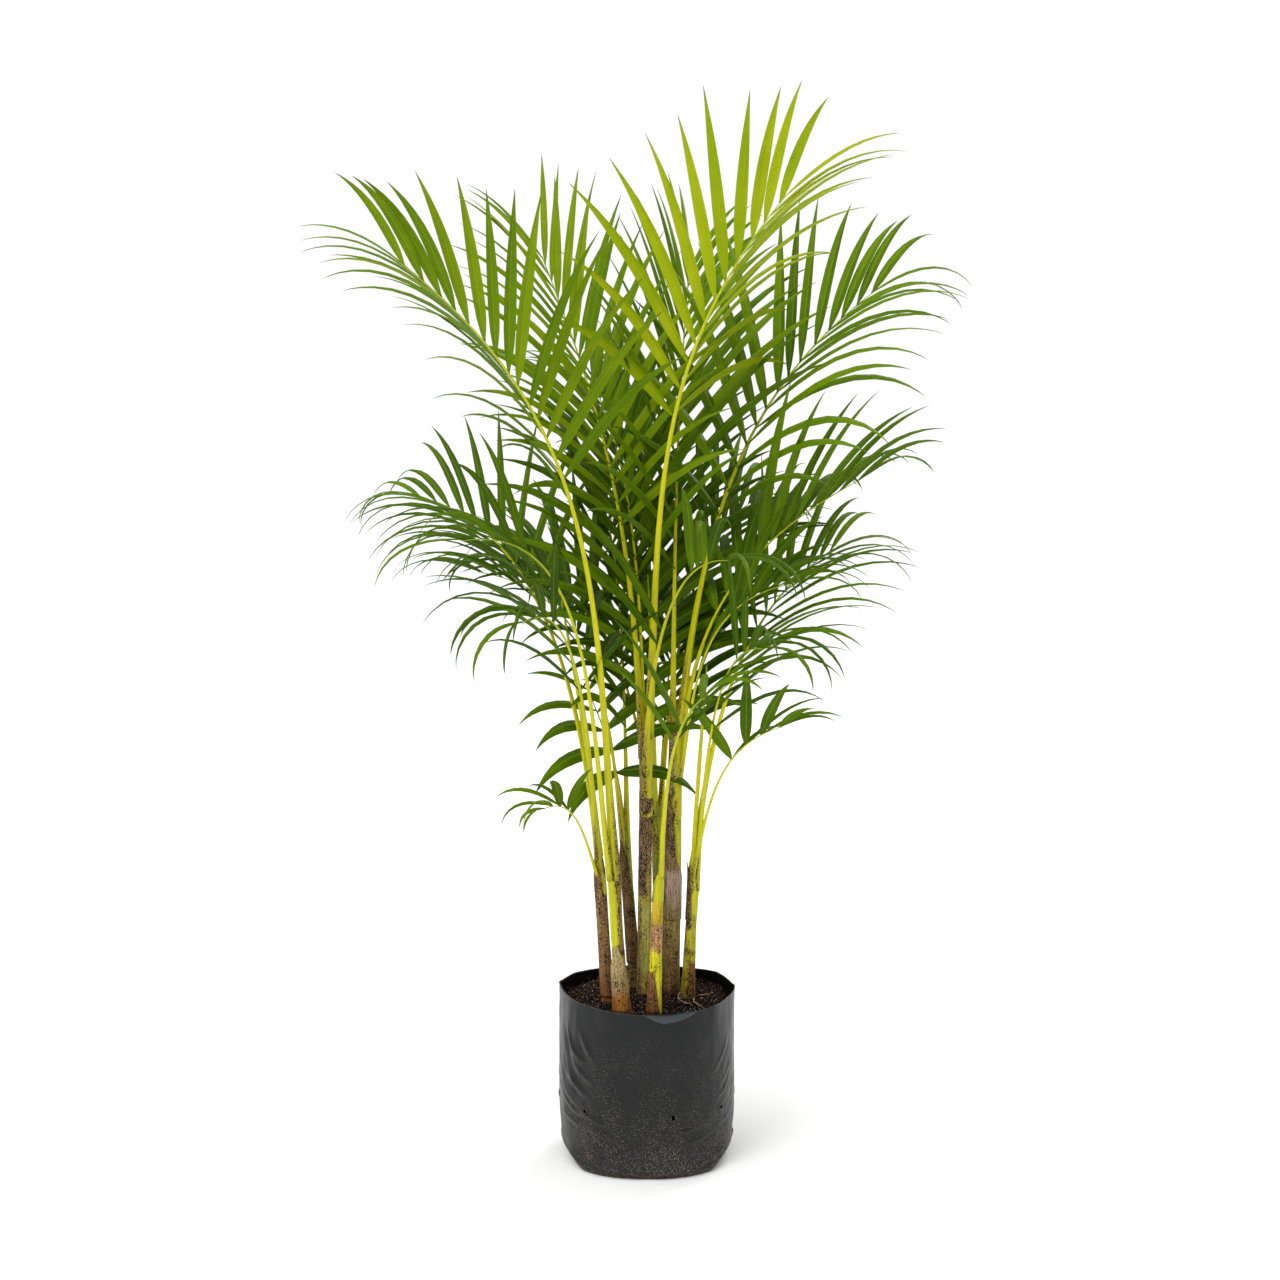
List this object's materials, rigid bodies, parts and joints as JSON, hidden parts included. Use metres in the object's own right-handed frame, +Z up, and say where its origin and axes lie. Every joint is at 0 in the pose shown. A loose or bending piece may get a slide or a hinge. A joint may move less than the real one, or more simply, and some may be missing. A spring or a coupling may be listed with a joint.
{
  "type": "potted palm",
  "caption": "Clump-forming feather palm with upright canes and arching pinnate fronds, growing in a black nursery film bag filled with potting mix.",
  "frame": {"origin": "middle of the bag's flat underside, on the floor", "axes": "+Z up through the middle of the bag, +X to the right of the plant's best side, -Y towards its front"},
  "size_m": [0.8562, 0.8274, 1.3473],
  "materials": {
    "black_film": "black polythene film, semi-gloss above and dusty with dried mix near the foot",
    "coir_mix": "damp shredded coconut husk with crumbs, fibres and light flecks",
    "cane_skin": "smooth yellow-green cane and crownshaft with brown scurf and old leaf scars",
    "leaf_blade": "living leaf blade, satin above and duller below, with yellow stalks",
    "spear_leaf": "unopened leaf, pale yellow-green, folded tight",
    "dry_leaf_base": "dry papery leaf base, tan to dark brown, fibrous edges",
    "fine_root": "thin pale pinkish root"
  },
  "bodies": {
    "root": {"bag": "black_film", "cane_1": "cane_skin", "cane_2": "cane_skin", "cane_3": "cane_skin", "cane_4": "cane_skin", "cane_5": "cane_skin", "cane_6": "cane_skin", "cane_7": "cane_skin", "cane_8": "cane_skin", "dry_sheath_1": "dry_leaf_base", "dry_sheath_2": "dry_leaf_base", "dry_sheath_3": "dry_leaf_base", "dry_sheath_5": "dry_leaf_base", "dry_sheath_6": "dry_leaf_base", "dry_sheath_7": "dry_leaf_base", "frond_back": "leaf_blade", "frond_back_left": "leaf_blade", "frond_back_middle": "leaf_blade", "frond_back_right": "leaf_blade", "frond_front_left": "leaf_blade", "frond_front_right": "leaf_blade", "frond_high_back": "leaf_blade", "frond_high_right": "leaf_blade", "frond_left": "leaf_blade", "frond_low_back": "leaf_blade", "frond_low_front": "leaf_blade", "frond_low_left": "leaf_blade", "frond_low_right": "leaf_blade", "frond_mid_low_right": "leaf_blade", "frond_mid_right": "leaf_blade", "frond_right": "leaf_blade", "frond_side_left": "leaf_blade", "frond_side_right": "leaf_blade", "frond_small_left": "leaf_blade", "frond_top_back": "leaf_blade", "frond_top_left": "leaf_blade", "frond_top_middle": "leaf_blade", "frond_top_right": "leaf_blade", "frond_young_left": "leaf_blade", "potting_mix": "coir_mix", "spear_back": "spear_leaf", "spear_left": "spear_leaf", "spear_right": "spear_leaf", "surface_root_1": "fine_root", "surface_root_2": "fine_root", "surface_root_3": "fine_root"}
  },
  "joints": []
}
